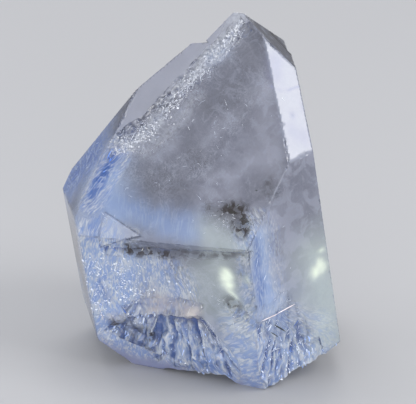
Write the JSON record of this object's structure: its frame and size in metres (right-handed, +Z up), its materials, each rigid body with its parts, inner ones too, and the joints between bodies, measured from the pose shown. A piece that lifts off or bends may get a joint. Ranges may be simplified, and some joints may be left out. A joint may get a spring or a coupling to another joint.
{
  "type": "dumortierite quartz crystal",
  "caption": "Single quartz point with blue dumortierite inclusions, steep prism faces, a sloping main face and a broken base it stands on.",
  "frame": {"origin": "centre of the bounding box on the surface the crystal stands on", "axes": "+Z up, close to the crystal's long axis; -Y towards the big sloping face; +X to the right of it"},
  "size_m": [0.0186, 0.0166, 0.0241],
  "materials": {
    "included_quartz": "clear to milky quartz, grey-lilac to blue from inclusions, glossy faces, frosted seam and splintery breaks"
  },
  "bodies": {
    "root": {"quartz_crystal": "included_quartz"}
  },
  "joints": []
}
